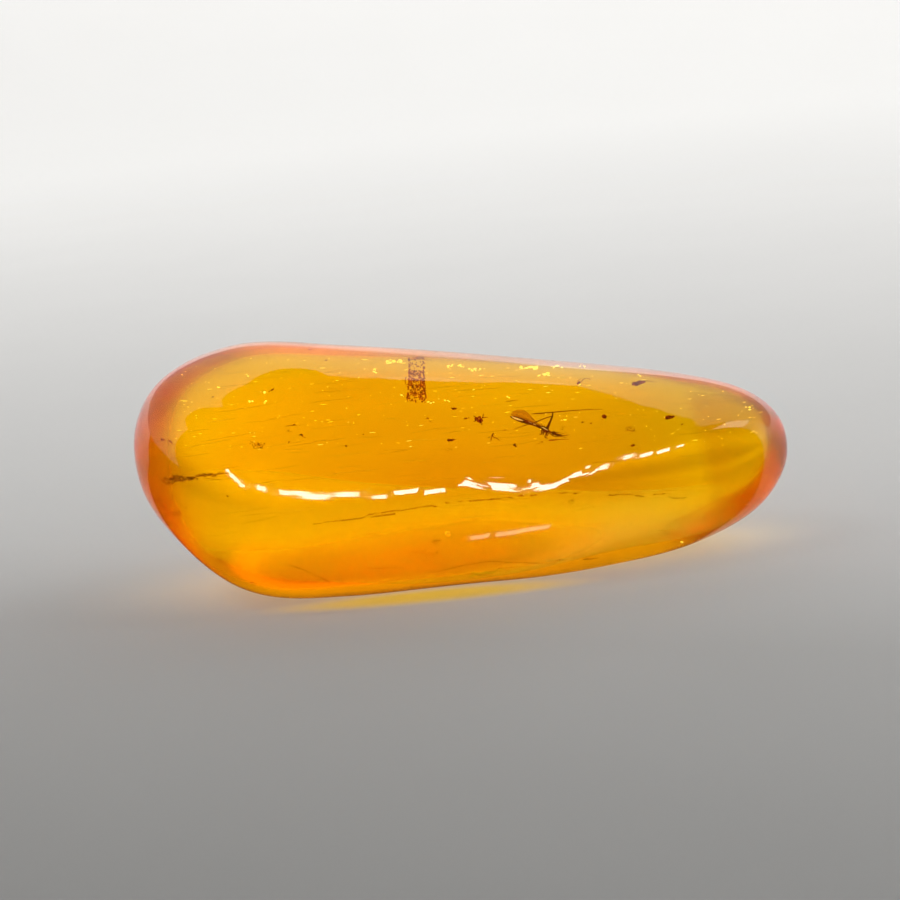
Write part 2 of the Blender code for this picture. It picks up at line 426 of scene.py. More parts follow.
class Build:
    """Gathers closed shapes into one piece."""

    def __init__(self):
        self.v, self.f = [], []

    def add(self, verts, faces):
        verts = [Vector(v) for v in verts]
        if signed_volume([tuple(v - verts[0]) for v in verts], faces) < 0:
            faces = [tuple(reversed(f)) for f in faces]
        base = len(self.v)
        self.v.extend(verts)
        self.f.extend(tuple(i + base for i in f) for f in faces)

    def tube(self, patch, points, sides=8, per=6, wobble=0.0, rng=None):
        """A tapering rod through points (right, down, lift, radius) of a patch."""
        path = smooth_path(points, per)
        centre = [patch.at(x, y, l) for x, y, l, _ in path]
        radius = [max(r, 0.05) * 0.0001 for *_, r in path]
        if wobble:
            radius = [r * (1 + wobble * rng.normal()) for r in radius]
        n = len(centre)
        tangent = [(centre[min(i + 1, n - 1)] - centre[max(i - 1, 0)]).normalized() for i in range(n)]
        side = tangent[0].orthogonal().normalized()
        verts, faces = [centre[0] - tangent[0] * radius[0] * 0.6], []
        for i in range(n):
            side = (side - tangent[i] * side.dot(tangent[i])).normalized()
            other = tangent[i].cross(side)
            for k in range(sides):
                a = 2 * math.pi * k / sides
                verts.append(centre[i] + (side * math.cos(a) + other * math.sin(a)) * radius[i])
        verts.append(centre[-1] + tangent[-1] * radius[-1] * 0.6)
        for k in range(sides):
            m = (k + 1) % sides
            faces.append((0, 1 + m, 1 + k))
            for i in range(n - 1):
                a, b = 1 + i * sides, 1 + (i + 1) * sides
                faces.append((a + k, a + m, b + m, b + k))
            last = 1 + (n - 1) * sides
            faces.append((last + k, last + m, len(verts) - 1))
        self.add(verts, faces)

    def lump(self, patch, px, py, wide, high, angle=0.0, lift=0.0, thick=None, rough=0.22, level=2, seed=0):
        """An uneven grain, wide by high tenths of a millimetre, turned by angle degrees."""
        rng = np.random.default_rng(seed)
        ball, faces = BALLS[level]
        thick = min(wide, high) if thick is None else thick
        shape = np.ones(len(ball))
        for _ in range(5):
            d = rng.normal(size=3)
            d /= np.linalg.norm(d)
            shape += rough * rng.uniform(-0.5, 0.8) * np.clip(ball @ d, 0, 1) ** 2
        ca, sa = math.cos(math.radians(angle)), math.sin(math.radians(angle))
        pts = ball * shape[:, None] * np.array([wide / 2, high / 2, thick / 2])
        x = pts[:, 0] * ca - pts[:, 1] * sa
        y = pts[:, 0] * sa + pts[:, 1] * ca
        self.add([patch.at(px + a, py + b, lift + c) for a, b, c in zip(x, y, pts[:, 2])], faces)

    def plate(self, patch, outline, thick, bulge=0.0, lift=0.0, tilt=(0.0, 0.0)):
        """A thin closed leaf with the given outline of (right, down)."""
        ring = smooth_path([*outline, outline[0]], 4)[:-1]
        cx, cy = ring.mean(0)
        reach = np.abs(ring - [cx, cy]).max()
        verts, faces = [], []
        steps = (1.0, 0.97, 0.7, 0.35)
        for sign in (1, -1):
            for s in steps:
                for x, y in ring:
                    u, v = cx + (x - cx) * s, cy + (y - cy) * s
                    rise = bulge * (1 - s * s) + tilt[0] * (u - cx) / reach + tilt[1] * (v - cy) / reach
                    edge = 0.0 if s == 1.0 else thick / 2
                    verts.append(patch.at(u, v, lift + rise + sign * edge))
            verts.append(patch.at(cx, cy, lift + bulge + sign * thick / 2))
        n, per = len(ring), len(ring) * len(steps) + 1
        for half, sign in ((0, 1), (per, -1)):
            for j in range(len(steps) - 1):
                for i in range(n):
                    m = (i + 1) % n
                    a = (half + j * n + i, half + j * n + m, half + (j + 1) * n + m, half + (j + 1) * n + i)
                    faces.append(a if sign > 0 else tuple(reversed(a)))
            for i in range(n):
                m = (i + 1) % n
                a = (half + (len(steps) - 1) * n + i, half + (len(steps) - 1) * n + m, half + per - 1)
                faces.append(a if sign > 0 else tuple(reversed(a)))
        # the rims of the two faces are the same line, so they share their points
        swap = {per + i: i for i in range(n)}
        keep = [i for i in range(2 * per) if i not in swap]
        index = {old: new for new, old in enumerate(keep)}
        faces = [tuple(index[swap.get(i, i)] for i in f) for f in faces]
        self.add([verts[i] for i in keep], faces)

    def piece(self, name, mat):
        ob = mesh_object(name, self.v, self.f, mat)
        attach(ob, "root")
        return ob


# ---------------------------------------------------------------- build the stone
skin = Skin(*stone_grid(False))

# The bright marks of the lamps on the ridge: right, down, length and height of each.
DASHES = [
    (229.5, 471.5, 3.0, 3.0), (233.5, 476.5, 5.0, 4.0), (238.5, 481.0, 6.0, 4.0), (243.0, 486.0, 5.0, 4.0), (260.0, 488.5, 16.0, 5.0), (283.5, 492.5, 11.0, 4.5),
    (299.0, 493.0, 15.0, 4.5), (322.0, 497.0, 15.0, 5.0), (347.5, 495.0, 16.0, 5.0), (377.5, 497.0, 14.0, 4.0), (408.0, 491.5, 20.0, 5.0), (437.0, 491.0, 19.0, 4.0),
    (467.0, 483.5, 19.0, 4.5), (496.5, 487.5, 16.0, 4.5), (511.5, 485.5, 12.0, 4.0), (525.5, 489.0, 13.0, 1.6), (547.5, 488.0, 13.0, 3.0), (556.5, 485.0, 3.0, 3.0),
    (569.0, 480.0, 5.0, 2.6), (579.0, 474.0, 14.0, 5.0), (587.0, 467.5, 3.0, 2.6), (601.5, 468.0, 15.0, 6.0), (628.5, 456.5, 15.0, 4.5), (647.0, 454.5, 13.0, 3.0),
    (666.0, 450.0, 17.0, 3.0), (681.0, 446.0, 8.0, 2.2),
]


def mirror(px, py):
    """Where a line of sight meets the surface, the normal there and the way it is mirrored."""
    p, n, d = skin.meet(px, py)
    return p, n, d - n * (2 * d.dot(n))


def ridge_relief():
    """Small flats rubbed along the ridge, one for each mark: how far the ridge stands out (mm) along x."""
    track = [(px, py) for px, py, _, _ in DASHES]
    across = np.arange(252.0, 692.0, 1.0)
    down = np.interp(across, [a for a, _ in track], [b for _, b in track])
    met = [mirror(px, py) for px, py in zip(across, down)]
    x = np.array([m[0].x for m in met]) / MM
    turn = np.array([math.atan2(m[2].x, -m[2].y) for m in met])
    turn = np.convolve(np.pad(turn, 6, mode="edge"), np.ones(13) / 13, mode="valid")
    knots, values = [across[0]], [turn[0]]
    for px, _, wide, _ in DASHES:
        if px < 255 or 485 < px < 575 or wide < 8:
            continue
        level = float(np.interp(px, across, turn))
        knots += [px - 0.5 * wide, px + 0.5 * wide]
        values += [level, level]
    knots.append(across[-1])
    values.append(turn[-1])
    flat = np.interp(across, knots, values)
    free = (across > 488) & (across < 571)
    flat[free] = turn[free]
    slope = -0.44 * np.cos(turn) * (flat - turn)
    rise = np.concatenate([[0.0], np.cumsum(0.5 * (slope[1:] + slope[:-1]) * np.diff(x))])
    rise -= np.interp(x, (x[0], x[-1]), (rise[0], rise[-1]))
    order = np.argsort(x)
    return np.concatenate([[x.min() - 0.5], x[order], [x.max() + 0.5]]), np.concatenate([[0.0], rise[order], [0.0]])


fine_verts, fine_faces = stone_grid(True, ridge_relief())
if signed_volume(fine_verts, fine_faces) < 0:
    fine_faces = [tuple(reversed(f)) for f in fine_faces]
stone = mesh_object("copal_stone", fine_verts, fine_faces, copal_material())
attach(stone, "root")
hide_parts("copal")


def ease(value, low, high):
    t = np.clip((value - low) / (high - low), 0.0, 1.0)
    return t * t * (3 - 2 * t)


def dullness(points):
    """Roughness of the polish at each point: more on the back, the underside and behind the ends than in front."""
    x, y, z = (points[:, k] / MM for k in range(3))
    back = 0.21 * ease(y, 3.0, 9.0)
    under = 0.21 * ease(-z, -8.0, -2.5) * ease(y, -9.5, -5.0)
    ends = 0.21 * ease(abs(x), 24.0, 30.0) * ease(y, -3.0, 3.0)
    smear = np.clip(0.032 + 6.0 * hand_polish(x, y, z, 0.0), 0.012, 0.055)
    return np.maximum(np.maximum(back, under), ends) + smear


store = stone.data.attributes.new("dull", "FLOAT", "POINT")
store.data.foreach_set("value", dullness(np.asarray(fine_verts)).astype(np.float32))

# ------------------------------------------------- veils of cloudy resin within
def kept_inside(x, y, z, gap=0.7):
    """Points drawn in towards the middle of their own cross section until they lie under the stone's skin."""
    y, z = y.copy(), z.copy()
    turn = np.linspace(-math.pi, math.pi, 361)
    for j in range(x.shape[0]):
        at = math.acos(max(-0.999, min(0.999, -2 * x[j].mean() / LENGTH)))
        sy, sz = surface(np.full(361, at), turn, limits(), False)[1:]
        cy, cz = (sy.min() + sy.max()) / 2, (sz.min() + sz.max()) / 2
        ring = np.arctan2(sz - cz, sy - cy)
        order = np.argsort(ring)
        room = np.interp(np.arctan2(z[j] - cz, y[j] - cy), ring[order], np.hypot(sy - cy, sz - cz)[order], period=2 * math.pi)
        far = np.hypot(y[j] - cy, z[j] - cz)
        pull = np.minimum(1.0, np.maximum(room - gap, 0.3 * room) / np.maximum(far, 1e-6))
        y[j], z[j] = cy + (y[j] - cy) * pull, cz + (z[j] - cz) * pull
    return y, z


def veil(name, at_y, lean, low, high, seed, stretch, reach=(0.93, 0.86, 0.0), part=(0.0, 1.0), tones=((0.98, 0.80, 0.10), (1.0, 0.91, 0.18)), through=0.6, grain=170.0):
    """A wide, thin, closed lens of clouded resin across the stone, which thins out towards its rim."""
    ring = math.pi * (part[0] + (part[1] - part[0]) * np.arange(1, 72) / 72)
    turn = np.arange(96) * 2 * math.pi / 96
    phi, psi = np.meshgrid(ring, turn, indexing="ij")
    x, y, z = surface(phi, psi, limits(), False)
    rng = np.random.default_rng(seed)
    my, mz = y.mean(1, keepdims=True), z.mean(1, keepdims=True)
    across = (y - my) / abs(y - my).max(1, keepdims=True)
    x, z = x * reach[0], mz + (z - mz) * reach[1] + reach[2]
    drift = np.zeros_like(x)
    for _ in range(9):
        a, b = rng.uniform(0.03, 0.22), rng.uniform(-0.2, 0.2)
        drift += rng.uniform(0.1, 0.5) * np.sin(a * x + b * z + rng.uniform(0, 6.28))
    y = at_y * np.sin(phi) + lean * (z - mz) + drift * np.sin(phi) + across * 0.35
    for _ in range(3):
        y, z = kept_inside(x, y, z)
    ends = np.array([[x[0].mean() - 0.3, y[0].mean(), z[0].mean()], [x[-1].mean() + 0.3, y[-1].mean(), z[-1].mean()]])
    verts = np.concatenate([np.stack([x, y, z], -1).reshape(-1, 3), ends]) * MM
    rows, cols = x.shape
    faces = [(j * cols + i, (j + 1) * cols + i, (j + 1) * cols + (i + 1) % cols, j * cols + (i + 1) % cols) for j in range(rows - 1) for i in range(cols)]
    for i in range(cols):
        n = (i + 1) % cols
        faces += [(rows * cols, i, n), (rows * cols + 1, (rows - 1) * cols + n, (rows - 1) * cols + i)]
    if signed_volume(verts, faces) < 0:
        faces = [tuple(reversed(f)) for f in faces]
    mat = material(name, tones[0], 0.9)
    nt = mat.node_tree
    shader = nt.nodes["Principled BSDF"]
    billows = noise(nt, grain, detail=1.5, rough=0.6, stretch=stretch)
    nt.links.new(ramp(nt, billows, [(0.3, tones[0]), (0.7, tones[1])]), shader.inputs["Base Color"])
    shader.inputs["Specular IOR Level"].default_value = 0.0
    pass_on = nt.nodes.new("ShaderNodeBsdfTranslucent")
    pass_on.inputs["Color"].default_value = (*tones[1], 1.0)
    clear = nt.nodes.new("ShaderNodeBsdfTransparent")
    clear.inputs["Color"].default_value = (1.0, 1.0, 1.0, 1.0)
    scatter, cover = nt.nodes.new("ShaderNodeMixShader"), nt.nodes.new("ShaderNodeMixShader")
    scatter.inputs[0].default_value = through
    nt.links.new(shader.outputs[0], scatter.inputs[1])
    nt.links.new(pass_on.outputs[0], scatter.inputs[2])
    amount = nt.nodes.new("ShaderNodeMapRange")
    for key, value in zip(("From Min", "From Max", "To Min", "To Max"), (0.35, 0.68, low, high)):
        amount.inputs[key].default_value = value
    nt.links.new(billows, amount.inputs["Value"])
    share = nt.nodes.new("ShaderNodeAttribute")
    share.attribute_name = "cloud"
    product = nt.nodes.new("ShaderNodeMath")
    product.operation = "MULTIPLY"
    nt.links.new(amount.outputs["Result"], product.inputs[0])
    nt.links.new(share.outputs["Fac"], product.inputs[1])
    nt.links.new(product.outputs[0], cover.inputs[0])
    nt.links.new(clear.outputs[0], cover.inputs[1])
    nt.links.new(scatter.outputs[0], cover.inputs[2])
    nt.links.new(cover.outputs[0], nt.nodes["Material Output"].inputs["Surface"])
    ob = mesh_object(name, verts, faces, mat)
    along_it = (phi / math.pi - part[0]) / (part[1] - part[0])
    cloud = ease(abs(across), 0.02, 0.6) * ease(np.sin(math.pi * along_it), 0.05, 0.45)
    store = ob.data.attributes.new("cloud", "FLOAT", "POINT")
    store.data.foreach_set("value", np.concatenate([cloud.reshape(-1), [0.0, 0.0]]).astype(np.float32))
    ob.visible_diffuse = ob.visible_glossy = False
    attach(ob, "root")
    return ob


veil("resin_veil_back", 6.0, 0.10, 0.10, 0.245, 9, (0.22, 1.0, 0.9))
veil("resin_veil_low", -10.6, 0.16, 0.22, 0.245, 27, (0.3, 1.0, 0.8), (0.88, 0.38, -4.4), part=(0.08, 0.90), through=0.35)
veil("resin_veil_end", -1.0, 0.0, 0.20, 0.245, 33, (0.4, 1.0, 0.9), (0.97, 0.84, 0.0), part=(0.74, 0.985), tones=((0.62, 0.24, 0.01), (0.80, 0.38, 0.03)))

# ------------------------------------------------------------------- the fly
cuticle = material("fly_cuticle", (0.12, 0.03, 0.01), 0.35)
mottle(cuticle, 5200.0, [(0.3, (0.10, 0.022, 0.004)), (0.55, (0.22, 0.050, 0.010)), (0.8, (0.42, 0.12, 0.03))])
bump(cuticle, 16000.0, 0.5, 0.00001)
stained(cuticle, (0.68, 0.27, 0.08), 0.55)
bristle = material("fly_legs", (0.16, 0.04, 0.01), 0.45)
mottle(bristle, 3000.0, [(0.3, (0.16, 0.032, 0.005)), (0.7, (0.34, 0.08, 0.012))])
stained(bristle, (0.62, 0.25, 0.07), 0.55)
# painted highlight: a real air film on the fly, made bright pink by its own glow instead of by mirrored light
painted_highlight_film = material("painted_highlight_air_film", (0.95, 0.74, 0.66), 0.35, Emission_Strength=0.45)
painted_highlight_film.node_tree.nodes["Principled BSDF"].inputs["Emission Color"].default_value = (1.0, 0.62, 0.50, 1.0)
mottle(painted_highlight_film, 5000.0, [(0.3, (0.85, 0.55, 0.45)), (0.7, (1.0, 0.88, 0.82))])
membrane = material("wing_membrane", (0.45, 0.20, 0.06), 0.3)
mottle(membrane, 3600.0, [(0.3, (0.30, 0.12, 0.03)), (0.7, (0.60, 0.30, 0.10))])
stained(membrane, (0.93, 0.80, 0.48), 0.07)

fly = Patch(541.0, 422.0, 2.4, span=16.0)
body = Build()
# abdomen: nine ringed segments, from the tip at the left to the waist
centre = smooth_path([(509.8, 416.6, 0.0, 0.5), (512.5, 417.6, 0.4, 1.7), (517.0, 419.0, 0.8, 2.7), (522.0, 420.7, 0.8, 2.8),
                      (527.0, 422.2, 0.6, 2.4), (532.0, 423.9, 0.2, 1.9), (537.0, 425.9, 0.0, 1.5), (541.0, 427.6, 0.0, 1.6)], 9)
ringed = [(x, y, l, r * (1 - 0.13 * abs(math.sin(math.pi * k / 7.0)) ** 6)) for k, (x, y, l, r) in enumerate(centre)]
body.tube(fly, ringed, sides=16, per=1)
# thorax, humped, and the scutellum behind it
body.lump(fly, 545.6, 429.6, 8.6, 5.2, 27, 0.6, 5.4, 0.10, 3, 5)
body.lump(fly, 542.2, 427.4, 4.4, 3.4, 27, 1.2, 3.4, 0.10, 2, 6)
# neck, head, eyes, mouthparts
body.tube(fly, [(548.5, 431.0, 0.4, 1.0), (551.0, 432.0, 0.2, 0.8), (552.5, 432.5, 0.0, 0.9)], sides=10, per=3)
body.lump(fly, 553.6, 432.9, 4.4, 3.6, 14, 0.2, 3.6, 0.08, 3, 7)
body.lump(fly, 553.9, 432.0, 2.2, 2.0, 10, 1.4, 1.6, 0.05, 2, 8)
body.lump(fly, 553.4, 433.9, 2.0, 1.8, 10, -1.2, 1.6, 0.05, 2, 9)
body.tube(fly, [(555.3, 433.5, 0.2, 1.05), (558.0, 434.3, 0.3, 0.85), (561.5, 435.0, 0.3, 0.6), (565.0, 435.2, 0.2, 0.4), (569.0, 434.4, 0.0, 0.2)], sides=8)
body.tube(fly, [(555.0, 434.3, -0.2, 0.8), (558.5, 435.4, -0.4, 0.6), (562.5, 436.4, -0.6, 0.4), (566.5, 437.2, -0.8, 0.16)], sides=8)
body.tube(fly, [(554.8, 432.2, 0.8, 0.45), (558.8, 432.6, 1.6, 0.35), (563.0, 433.2, 2.2, 0.22), (567.0, 432.4, 2.6, 0.1)], sides=6)
# coxae under the thorax and the small bristles on its back
for x, y, dx, dy, r in ((541.8, 429.8, -0.6, 3.8, 0.75), (544.0, 431.4, -1.0, 3.6, 0.8), (546.6, 432.4, 0.3, 3.6, 0.9), (548.8, 432.6, -1.4, 3.0, 0.6)):
    body.tube(fly, [(x, y, 0.2, r), (x + 0.45 * dx, y + 0.5 * dy, 0.7, 0.75 * r), (x + dx, y + dy, 0.9, 0.35 * r)], sides=8, per=4)
for x, y, dx, dy in ((540.4, 426.2, -0.7, -3.0), (542.8, 426.9, -1.6, -3.6), (544.2, 427.2, 0.3, -2.6), (546.0, 428.1, 1.1, -2.6)):
    body.tube(fly, [(x, y, 1.4, 0.5), (x + 0.6 * dx, y + 0.6 * dy, 1.9, 0.3), (x + dx, y + dy, 2.1, 0.1)], sides=6, per=3)
body.piece("fly_body", cuticle)

legs = Build()
# hind femur up from the thorax, knee, and the long shin and foot to the right
legs.tube(fly, [(547.0, 429.2, 1.4, 1.1), (548.6, 424.5, 2.0, 0.95), (550.9, 419.4, 2.6, 0.8), (552.5, 414.6, 3.0, 0.7), (552.6, 411.9, 3.0, 0.65)], sides=8)
legs.tube(fly, [(552.4, 412.1, 3.0, 0.7), (560.5, 411.4, 2.8, 0.62), (569.0, 410.7, 2.4, 0.58), (577.5, 410.1, 2.2, 0.5), (586.0, 409.7, 2.0, 0.42),
                (593.0, 409.3, 1.8, 0.34), (600.5, 409.2, 1.6, 0.22)], sides=8)
# another hind leg, whose shin lies back to the left
legs.tube(fly, [(553.0, 411.9, 2.6, 0.6), (547.0, 412.6, 2.4, 0.74), (540.5, 413.1, 2.2, 0.78), (535.5, 413.4, 2.0, 0.6), (531.0, 413.8, 1.8, 0.3)], sides=8)
# middle leg: femur to the knee by the other, shin and foot down to the left across the abdomen
legs.tube(fly, [(547.8, 428.6, 2.2, 0.75), (549.6, 424.2, 3.0, 0.65), (551.4, 419.6, 3.6, 0.55), (552.6, 416.2, 3.8, 0.5)], sides=8)
legs.tube(fly, [(552.8, 416.0, 3.8, 0.5), (547.0, 417.5, 3.7, 0.6), (540.5, 420.1, 3.6, 0.6), (533.5, 423.0, 3.4, 0.56), (526.5, 424.9, 3.2, 0.5),
                (520.5, 426.9, 3.0, 0.4), (514.2, 429.2, 2.8, 0.24)], sides=8)
# front legs folded forward under the head, and one snapped short
legs.tube(fly, [(549.5, 432.4, 0.0, 0.6), (552.6, 435.2, -0.6, 0.5), (556.8, 436.2, -1.4, 0.4), (561.0, 435.9, -2.2, 0.3)], sides=8)
legs.tube(fly, [(546.2, 433.0, -1.0, 0.6), (545.0, 436.6, -2.4, 0.5), (547.6, 437.6, -3.6, 0.4)], sides=8)
legs.tube(fly, [(543.2, 431.6, -0.6, 0.55), (540.9, 434.2, -1.8, 0.45), (539.4, 433.4, -3.0, 0.35)], sides=8)
# the claws at the foot's end
legs.tube(fly, [(600.3, 409.2, 1.6, 0.2), (601.4, 408.6, 1.6, 0.14)], sides=6, per=2)
legs.tube(fly, [(600.3, 409.2, 1.6, 0.2), (601.3, 409.9, 1.6, 0.14)], sides=6, per=2)
legs.piece("fly_legs", bristle)

# painted highlight: glowing pinkish strokes along the abdomen and thorax, where a silvery air film lies
sheen = Build()
sheen.tube(fly, [(511.4, 416.9, 2.9, 0.3), (514.0, 418.0, 3.4, 0.9), (517.2, 419.1, 3.7, 1.1), (520.2, 420.0, 3.6, 0.8), (523.4, 420.9, 3.3, 0.3)], sides=8)
sheen.tube(fly, [(527.0, 421.5, 2.6, 0.2), (531.5, 422.9, 2.4, 0.4), (536.0, 424.9, 2.2, 0.2)], sides=6)
sheen.tube(fly, [(541.6, 427.0, 3.2, 0.2), (544.6, 428.4, 3.6, 0.5), (547.8, 430.2, 3.2, 0.2)], sides=6)
sheen.piece("fly_air_film_painted_highlight", painted_highlight_film)

wings = Build()
wings.plate(fly, [(541.0, 426.0), (534.0, 419.4), (529.0, 413.6), (523.8, 409.8), (517.4, 409.4), (512.8, 411.6), (510.6, 414.6), (513.0, 416.8),
                  (521.0, 419.0), (531.0, 422.6)], 0.10, 1.2, 2.6, (0.6, -1.0))
wings.plate(fly, [(541.0, 427.6), (534.0, 425.2), (525.0, 423.4), (517.0, 420.6), (510.8, 417.4), (512.4, 415.8), (520.0, 416.6), (530.0, 421.0)],
            0.10, -0.8, -2.4, (-0.6, 0.8))
wings.piece("fly_wings", membrane)
veins = Build()
for pts in ([(541.0, 426.0), (531.5, 418.4), (523.0, 412.6), (512.6, 411.9)], [(540.5, 426.2), (530.5, 420.6), (520.0, 415.6), (511.2, 414.6)],
            [(534.0, 419.6), (528.0, 413.4), (523.6, 410.0)], [(540.0, 426.4), (530.0, 422.0), (520.0, 418.4), (512.0, 416.6)],
            [(524.0, 413.3), (521.4, 416.1)], [(518.2, 411.9), (516.2, 414.9)]):
    veins.tube(fly, [(x, y, 3.2, 0.22) for x, y in pts], sides=5, per=4)
veins.piece("fly_wing_veins", bristle)

# --------------------------------------------------------------- the plant dust
debris = material("dark_specks", (0.26, 0.05, 0.006), 0.6)
mottle(debris, 4200.0, [(0.3, (0.18, 0.030, 0.003)), (0.6, (0.36, 0.075, 0.006)), (0.85, (0.60, 0.20, 0.02))])
bump(debris, 12000.0, 0.6, 0.00002)
stained(debris, (0.80, 0.32, 0.06), 0.45)
tan = material("brown_dust", (0.45, 0.15, 0.03), 0.7)
mottle(tan, 3600.0, [(0.3, (0.24, 0.07, 0.012)), (0.7, (0.55, 0.22, 0.04))])
stained(tan, (0.80, 0.55, 0.25), 0.4)

specks = Build()
# right, down, width, height, turn, depth: single grains with their own rough form
SPECKS = [
    (454.5, 408.5, 7.0, 2.6, 2, 2.5), (451.0, 440.0, 9.7, 2.4, -4, 2.0), (449.0, 440.6, 4.0, 3.0, 0, 2.1), (465.6, 418.6, 3.4, 1.8, -10, 2.6),
    (468.6, 417.8, 2.2, 1.2, 20, 2.7), (505.0, 430.0, 1.6, 1.6, 0, 2.0), (514.5, 445.0, 3.6, 3.6, 0, 1.6), (516.0, 446.6, 2.0, 1.6, 0, 1.6),
    (542.0, 442.0, 3.0, 1.4, -8, 1.8), (582.5, 422.2, 3.8, 1.8, -16, 2.4), (591.0, 423.4, 2.0, 1.8, 0, 2.4), (604.6, 416.4, 5.4, 4.0, 10, 2.2),
    (602.2, 419.8, 1.6, 1.2, 0, 2.2), (601.2, 423.6, 1.2, 1.0, 0, 2.4), (639.0, 382.2, 13.0, 5.0, -10, 2.0), (633.8, 384.0, 5.0, 4.4, 0, 2.1),
    (578.5, 383.2, 4.6, 3.4, -20, 2.0), (661.0, 401.0, 1.8, 1.4, 0, 1.8), (672.5, 416.8, 4.2, 2.6, -8, 2.2), (667.0, 419.0, 3.6, 2.4, 10, 2.4),
    (682.0, 424.2, 2.4, 1.6, 0, 2.0), (632.6, 445.6, 6.0, 2.4, -12, 1.6), (427.6, 418.2, 3.2, 1.6, 12, 2.4), (272.4, 389.8, 4.4, 2.0, -24, 2.6),
    (212.8, 396.8, 2.6, 1.6, -10, 2.0), (163.0, 439.6, 6.0, 2.6, 4, 1.8), (309.6, 349.4, 4.0, 1.8, 0, 1.6), (326.4, 360.2, 3.0, 1.2, 0, 1.8),
    (301.0, 435.0, 4.6, 2.2, 4, 2.6), (289.0, 442.0, 2.0, 1.4, 0, 2.6), (363.4, 434.4, 1.8, 1.4, 0, 2.2), (346.0, 446.0, 3.2, 1.8, -8, 2.0),
    (294.0, 424.6, 2.6, 1.0, -10, 3.0), (227.4, 496.0, 2.4, 1.8, 10, 1.8), (186.0, 508.0, 2.0, 1.6, 0, 1.8), (220.0, 560.4, 2.4, 1.4, 0, 1.2),
    (563.0, 548.0, 2.2, 1.8, 0, 1.2), (499.0, 568.0, 2.0, 1.4, 0, 1.2), (631.0, 524.0, 2.4, 1.8, 0, 1.2), (594.0, 507.0, 2.2, 1.6, 0, 1.4),
    (751.0, 496.0, 2.4, 1.6, 0, 1.2), (560.8, 434.0, 1.0, 1.0, 0, 2.0), (669.0, 417.8, 9.0, 3.6, -4, 2.2),
]
rng = np.random.default_rng(77)
for n, (px, py, w, h, turn, depth) in enumerate(SPECKS):
    spot = Patch(px, py, depth, 4.0)
    specks.lump(spot, px, py, 0.74 * w, 0.74 * h, turn, 0.0, None, 0.75, 2, 100 + n)
    ca, sa = math.cos(math.radians(turn)), math.sin(math.radians(turn))
    for k in range(5 if w * h > 4 else 2):
        u, v = 0.36 * w * rng.uniform(-1, 1), 0.36 * h * rng.uniform(-1, 1)
        specks.lump(spot, px + u * ca - v * sa, py + u * sa + v * ca, 0.34 * w * rng.uniform(0.6, 1.3), 0.42 * h * rng.uniform(0.6, 1.3),
                    turn + rng.uniform(-30, 30), rng.uniform(-0.3, 0.3) * h, None, 0.7, 1, int(rng.integers(1 << 30)))
# a frayed cluster of fibres and grains left of the fly
tuft = Patch(479.0, 419.0, 2.5, 6.0)
for n, (dx, dy, w, h) in enumerate(((-2.4, -0.6, 3.6, 3.0), (0.4, -1.6, 3.4, 2.6), (2.2, 0.6, 3.6, 2.8), (-0.6, 1.4, 4.6, 3.0), (-3.4, 1.4, 2.2, 1.8),
                                     (1.2, 3.2, 2.8, 1.8), (3.4, -1.4, 2.0, 1.4))):
    specks.lump(tuft, 479.0 + dx, 419.0 + dy, w, h, 20 * n, 0.4 * (n % 3 - 1), None, 0.6, 2, 300 + n)
for pts in ([(480.0, 421.0), (482.0, 423.0), (481.4, 425.0)], [(482.0, 418.0), (485.0, 417.4), (487.6, 417.2)], [(483.0, 416.6), (483.6, 413.8)],
            [(476.0, 417.4), (473.6, 415.8)], [(475.6, 421.0), (473.4, 421.6)]):
    specks.tube(tuft, [(x, y, 0.4, 0.42) for x, y in pts], sides=6, per=3)
# thin tails, fibres and hairs
HAIRS = [
    ([(168.0, 440.2), (171.0, 441.8), (172.4, 444.0)], 2.0, 0.6), ([(646.0, 380.8), (651.0, 381.4), (657.0, 382.4)], 2.0, 0.45),
    ([(580.6, 382.2), (584.0, 378.8), (588.4, 378.4), (590.6, 380.4)], 2.0, 0.45), ([(577.0, 381.4), (580.8, 378.6)], 2.0, 0.4),
    ([(491.0, 440.6), (492.0, 435.4), (493.6, 433.0), (492.8, 436.4), (497.0, 438.4), (499.6, 440.6)], 2.2, 0.42),
    ([(488.2, 437.6), (490.2, 436.6)], 2.2, 0.4), ([(549.0, 440.4), (554.0, 440.0), (559.4, 439.6)], 1.8, 0.7), ([(559.4, 439.6), (564.0, 439.2), (569.4, 439.4)], 1.8, 0.3),
    ([(429.4, 420.6), (431.6, 422.2)], 2.4, 0.4), ([(506.0, 401.4), (512.0, 400.8), (518.0, 400.0)], 2.6, 0.4), ([(540.2, 443.0), (536.6, 444.0)], 1.8, 0.3),
    ([(408.0, 360.4), (414.0, 359.4), (422.0, 359.6), (431.4, 360.4)], 1.5, 0.5), ([(406.0, 377.0), (405.0, 381.0), (406.4, 385.0)], 2.2, 0.4),
    ([(302.4, 436.6), (306.0, 437.6)], 2.6, 0.35), ([(270.0, 391.0), (267.6, 392.6)], 2.6, 0.4),
    ([(296.0, 425.0), (291.0, 425.4), (286.0, 426.0)], 3.0, 0.3),
]
for pts, depth, r in HAIRS:
    mid = pts[len(pts) // 2]
    specks.tube(Patch(mid[0], mid[1], depth, 5.0), [(x, y, 0.0, r * (1.0 if k < len(pts) - 1 else 0.5)) for k, (x, y) in enumerate(pts)], sides=6, per=4)
specks.piece("dark_specks", debris)

